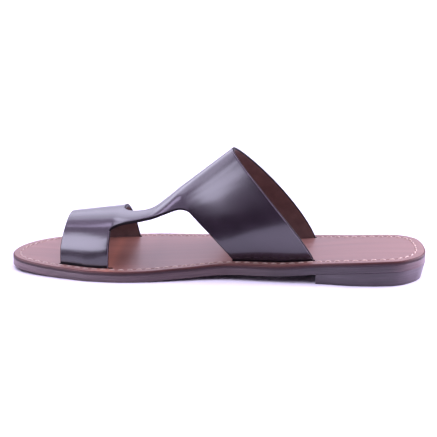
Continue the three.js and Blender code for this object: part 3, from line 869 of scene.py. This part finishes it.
def stitch_tree():
    """Geometry nodes that lay one stitch at each step of a closed path."""
    tree = bpy.data.node_groups.new("stitches along a seam", "GeometryNodeTree")
    tree.interface.new_socket("Path", in_out="INPUT", socket_type="NodeSocketGeometry")
    for name, kind in (
        ("Stitches", "NodeSocketInt"), ("Length", "NodeSocketFloat"), ("Lift", "NodeSocketFloat"),
        ("Sink", "NodeSocketFloat"), ("Thread radius", "NodeSocketFloat"), ("Slant", "NodeSocketFloat"),
        ("Unevenness", "NodeSocketFloat"), ("Thread", "NodeSocketMaterial"),
    ):
        tree.interface.new_socket(name, in_out="INPUT", socket_type=kind)
    tree.interface.new_socket("Seam", in_out="OUTPUT", socket_type="NodeSocketGeometry")
    given = node(tree, "NodeGroupInput").outputs
    times = {"operation": "MULTIPLY"}
    half = node(tree, "ShaderNodeMath", times, given["Length"], 0.5).outputs[0]
    back = node(tree, "ShaderNodeMath", times, half, -1).outputs[0]
    down = node(tree, "ShaderNodeMath", times, given["Sink"], -1).outputs[0]
    start = node(tree, "ShaderNodeCombineXYZ", X=back, Z=down).outputs[0]
    top = node(tree, "ShaderNodeCombineXYZ", Z=given["Lift"]).outputs[0]
    end = node(tree, "ShaderNodeCombineXYZ", X=half, Z=down).outputs[0]
    bow = node(tree, "GeometryNodeCurveQuadraticBezier",
               Resolution=STITCH_STEPS, Start=start, Middle=top, End=end)
    ring = node(tree, "GeometryNodeCurvePrimitiveCircle",
                Resolution=THREAD_SIDES, Radius=given["Thread radius"])
    stitch = node(tree, "GeometryNodeCurveToMesh",
                  Curve=bow.outputs[0], Profile_Curve=ring.outputs["Curve"], Fill_Caps=True)
    path = node(tree, "GeometryNodeMeshToCurve", Mesh=given["Path"])
    steps = node(tree, "GeometryNodeCurveToPoints", {"mode": "COUNT"},
                 Curve=path.outputs[0], Count=given["Stitches"])
    level = node(tree, "FunctionNodeAlignRotationToVector", {"axis": "X", "pivot_axis": "Z"},
                 Vector=steps.outputs["Tangent"])
    sloped = node(tree, "FunctionNodeAlignRotationToVector", {"axis": "X", "pivot_axis": "Y"},
                  Rotation=level.outputs[0], Vector=steps.outputs["Tangent"])
    spread = node(tree, "FunctionNodeRandomValue", {"data_type": "FLOAT"}, Seed=STITCH_SEED)
    least, most = spread.inputs[2:4]
    least.default_value = 0
    tree.links.new(given["Unevenness"], most)
    aslant = node(tree, "ShaderNodeMath", {"operation": "ADD"}, given["Slant"], spread.outputs[1])
    twist = node(tree, "FunctionNodeAxisAngleToRotation", Axis=(0, 0, 1), Angle=aslant.outputs[0])
    turned = node(tree, "FunctionNodeRotateRotation", {"rotation_space": "LOCAL"},
                  Rotation=sloped.outputs[0], Rotate_By=twist.outputs[0])
    laid = node(tree, "GeometryNodeInstanceOnPoints", Points=steps.outputs["Points"],
                Instance=stitch.outputs[0], Rotation=turned.outputs[0])
    real = node(tree, "GeometryNodeRealizeInstances", Geometry=laid.outputs[0])
    dyed = node(tree, "GeometryNodeSetMaterial", Geometry=real.outputs[0], Material=given["Thread"])
    node(tree, "NodeGroupOutput", Seam=dyed.outputs[0])
    return tree


def sew(path_points, settings):
    """The stitches of a seam as one plain mesh in metres, laid along a closed path."""
    count = len(path_points)
    path = bpy.data.meshes.new("seam path")
    path.from_pydata(path_points * MM, [(i, (i + 1) % count) for i in range(count)], [])
    holder = bpy.data.objects.new("seam path", path)
    bpy.context.scene.collection.objects.link(holder)
    modifier = holder.modifiers.new("stitches", "NODES")
    tree = stitch_tree()
    modifier.node_group = tree
    for socket in tree.interface.items_tree:
        if socket.in_out == "INPUT" and socket.name in settings:
            modifier[socket.identifier] = settings[socket.name]
    ready = holder.evaluated_get(bpy.context.evaluated_depsgraph_get())
    mesh = bpy.data.meshes.new_from_object(ready)
    bpy.data.objects.remove(holder)
    return mesh


seam_sides = [sole_edge(side, whole_turns, seam_inset(whole_turns)) for side in (-1, 1)]
seam_plan = np.concatenate([seam_sides[0], seam_sides[1][-2:0:-1]])
seam_path = np.column_stack([seam_plan, footbed(seam_plan[:, 0]) - CHANNEL_DEPTH])
seam_length = length_along(np.concatenate([seam_path, seam_path[:1]]))[-1]
linen = thread_finish("waxed cream linen", THREAD_COLOURS, THREAD_PAINTED_SHADE)
# A stitch rises half as high as the handle in the middle of its curve
thread_mesh = sew(seam_path, {
    "Stitches": round(seam_length / STITCH_PITCH),
    "Length": STITCH_LENGTH * MM,
    "Lift": 2 * STITCH_LIFT * MM,
    "Sink": STITCH_SINK * MM,
    "Thread radius": THREAD_RADIUS * MM,
    "Slant": math.radians(STITCH_SLANT_DEGREES),
    "Unevenness": math.radians(STITCH_UNEVEN_DEGREES),
    "Thread": linen,
})
place_piece("seam_thread", thread_mesh, [])

# Studio: a plain white floor under a broad overhead light, with lights behind the sandal and on both sides.
# Two softboxes at the front left and a black card in front are there for the polished leather to reflect.
FLOOR_SIZE = 12
FLOOR_COLOUR = (0.93, 0.88, 0.96)
ROOM_BRIGHTNESS = 0.12
LIGHT_COLOUR = (0.8, 0.77, 1.0)
CEILING_COLOUR = (0.78, 0.66, 1.0)
BOUNCE_COLOUR = (0.82, 0.865, 1.0)
floor_mesh = bpy.data.meshes.new("floor")
floor_corners = [(-1, -1, 0), (1, -1, 0), (1, 1, 0), (-1, 1, 0)]
floor_mesh.from_pydata(np.array(floor_corners) * FLOOR_SIZE / 2, [], [(0, 1, 2, 3)])
floor = bpy.data.objects.new("floor", floor_mesh)
bpy.context.scene.collection.objects.link(floor)
floor_finish, _, _ = new_finish(
    "white floor", Base_Color=(*FLOOR_COLOUR, 1), Roughness=0.8, Specular_IOR_Level=0.2)
floor_mesh.materials.append(floor_finish)

room = bpy.data.worlds.new("dim room")
bpy.context.scene.world = room
room.use_nodes = True
room.node_tree.nodes["Background"].inputs["Color"].default_value = (*LIGHT_COLOUR, 1)
room.node_tree.nodes["Background"].inputs["Strength"].default_value = ROOM_BRIGHTNESS


def toward_centre(azimuth, elevation, distance):
    """Place and turn of something that looks at the sandal: azimuth 0 is in front of its medial side."""
    a = math.radians(azimuth)
    e = math.radians(elevation)
    back = np.array([math.sin(a) * math.cos(e), -math.cos(a) * math.cos(e), math.sin(e)])
    return back * distance, (math.pi / 2 - e, 0, a)


def light_panel(
    name, azimuth, distance, size, radiance, elevation=0, height=None, reflected=True, colour=LIGHT_COLOUR,
):
    """Flat lamp of even brightness that faces the sandal, unseen by the camera. Lengths are in metres."""
    lamp = bpy.data.lights.new(name, "AREA")
    lamp.shape = "RECTANGLE"
    lamp.size, lamp.size_y = size
    lamp.energy = radiance * math.pi * size[0] * size[1]
    lamp.color = colour
    panel = bpy.data.objects.new(name, lamp)
    bpy.context.scene.collection.objects.link(panel)
    panel.location, panel.rotation_euler = toward_centre(azimuth, elevation, distance)
    if height is not None:
        panel.location.z = height
    panel.visible_camera = False
    panel.visible_glossy = reflected


light_panel("overhead light", azimuth=0, distance=1.6, size=(3.6, 3.6), radiance=1.0,
            elevation=90, colour=CEILING_COLOUR)
light_panel("ceiling bounce", azimuth=0, distance=1.55, size=(3.6, 3.6), radiance=1.2,
            elevation=90, reflected=False, colour=BOUNCE_COLOUR)
light_panel("backdrop light", azimuth=180, distance=1.75, size=(3.6, 1.3), radiance=1.7, height=1.05)
light_panel("low backdrop light", azimuth=180, distance=1.75, size=(3.6, 0.4), radiance=0.9, height=0.2)
light_panel("left light", azimuth=-110, distance=1.6, size=(1.3, 1.2), radiance=1.9, height=1.25)
light_panel("rear left light", azimuth=-142, distance=1.7, size=(0.6, 1.0), radiance=1.4, height=0.95)
light_panel("upper left light", azimuth=-124, distance=1.5, size=(0.6, 0.45), radiance=4.0,
            elevation=68, colour=CEILING_COLOUR)
light_panel("right light", azimuth=106, distance=1.2, size=(1.2, 1.0), radiance=9.0, height=0.52)


def reflected_card(name, rows, colours, radiance):
    """A card near the sandal, from rows of corners in metres, that only shows as a reflection.
    Its colours are blended from the first row to the last."""
    rows = np.array(rows)
    share = np.broadcast_to(np.linspace(0, 1, len(rows))[:, None], rows.shape[:2])
    pattern = np.stack([rows[..., 0], share], axis=-1)
    mesh = mesh_from_grids(name, [(rows / MM, pattern / MM, 0)])
    finish, tree, shader = new_finish(
        name, Base_Color=(0, 0, 0, 1), Roughness=1, Specular_IOR_Level=0, Emission_Strength=radiance)
    plan = node(tree, "ShaderNodeUVMap", {"uv_map": "plan"}).outputs["UV"]
    height = node(tree, "ShaderNodeSeparateXYZ", Vector=plan).outputs["Y"]
    tree.links.new(colour_ramp(tree, height, colours), shader.inputs["Emission Color"])
    mesh.materials.append(finish)
    card = bpy.data.objects.new(name, mesh)
    bpy.context.scene.collection.objects.link(card)
    card.visible_camera = False
    card.visible_diffuse = False
    card.visible_shadow = False
    return card


# The low softbox stands close to the toe, at the front left. Its outline is distances along it and heights
SOFTBOX_START = np.array([-0.19, -0.37, 0])
SOFTBOX_RUN = np.array([-0.795, 0.607, 0])
SOFTBOX_OUTLINE = [
    (-0.03, 0.06), (-0.01, 0.1), (0.0, 0.16), (0.012, 0.27), (0.04, 0.3), (0.2, 0.28), (0.6, 0.28),
]
SOFTBOX_BOTTOM = 0.022
SOFTBOX_RADIANCE = 7.2
softbox_edges = [
    np.array([SOFTBOX_START + SOFTBOX_RUN * s + (0, 0, z) for s, z in outline])
    for outline in ([(s, SOFTBOX_BOTTOM) for s, _ in SOFTBOX_OUTLINE], SOFTBOX_OUTLINE)
]
even_light = [(0, LIGHT_COLOUR), (1, LIGHT_COLOUR)]
softbox = reflected_card("low softbox", softbox_edges, even_light, SOFTBOX_RADIANCE)

# The tall softbox stands further away and shows above the low one. Its outline is azimuths and elevations
TALL_SOFTBOX_DISTANCE = 1.5
TALL_SOFTBOX_OUTLINE = [(-33, 22), (-36, 36), (-42, 45), (-57, 46), (-65, 51), (-73, 47), (-105, 43)]
TALL_SOFTBOX_BOTTOM = 0.1
TALL_SOFTBOX_FADE = [(0, 1.0), (0.8, 1.0), (1, 0.5)]
tall_turn = np.radians([azimuth for azimuth, _ in TALL_SOFTBOX_OUTLINE])
tall_top = TALL_SOFTBOX_DISTANCE * np.tan(np.radians([elevation for _, elevation in TALL_SOFTBOX_OUTLINE]))
tall_plan = TALL_SOFTBOX_DISTANCE * np.array([np.sin(tall_turn), -np.cos(tall_turn)])
tall_edges = [np.stack([*tall_plan, 0 * tall_top + z], axis=-1) for z in (TALL_SOFTBOX_BOTTOM, tall_top)]
tall_colours = [(share, np.array(LIGHT_COLOUR) * fade) for share, fade in TALL_SOFTBOX_FADE]
tall_softbox = reflected_card("tall softbox", tall_edges, tall_colours, SOFTBOX_RADIANCE)

# The black card lies on the floor in front and stands up further out
CARD_NEAR_EDGE = [
    (-0.22, -0.09), (-0.15, -0.08), (-0.115, -0.08), (-0.095, -0.128), (-0.03, -0.09), (0, -0.075),
    (0.012, -0.105), (0.03, -0.15), (0.06, -0.19), (0.12, -0.2175), (0.21, -0.259), (0.3, -0.3),
]
CARD_AZIMUTHS = (-40, 50)
CARD_DISTANCE = 1.6
CARD_HEIGHT = 1.15
CARD_LIFT = 0.0005
BLACK = (0, 0, 0)
card_turn = np.radians(np.linspace(*CARD_AZIMUTHS, len(CARD_NEAR_EDGE)))
card_near = np.array([(x, y, 0) for x, y in CARD_NEAR_EDGE])
card_far = CARD_DISTANCE * np.stack([np.sin(card_turn), -np.cos(card_turn), 0 * card_turn], axis=-1)
card_top = card_far + (0, 0, CARD_HEIGHT)
card_rows = np.array([card_near, card_far, card_top]) + (0, 0, CARD_LIFT)
black_card = reflected_card("black card", card_rows, [(0, BLACK), (1, BLACK)], 0)

# Camera: where the photograph was taken, a little above the sandal and slightly towards its heel,
# through a long lens. Its place is in millimetres, as the sandal's sizes are.
CAMERA_TARGET = np.array([-1, 9.05, 30])
CAMERA_AZIMUTH = 4.5
CAMERA_ELEVATION = 15
CAMERA_DISTANCE = 1100
CAMERA_LENS = 131.65
CAMERA_SENSOR = 36
camera_lens = bpy.data.cameras.new("camera")
camera_lens.lens = CAMERA_LENS
camera_lens.sensor_width = CAMERA_SENSOR
camera = bpy.data.objects.new("camera", camera_lens)
bpy.context.scene.collection.objects.link(camera)
camera_offset, camera.rotation_euler = toward_centre(CAMERA_AZIMUTH, CAMERA_ELEVATION, CAMERA_DISTANCE)
camera.location = (CAMERA_TARGET + camera_offset) * MM
bpy.context.scene.camera = camera
bpy.context.scene.view_settings.view_transform = "Standard"
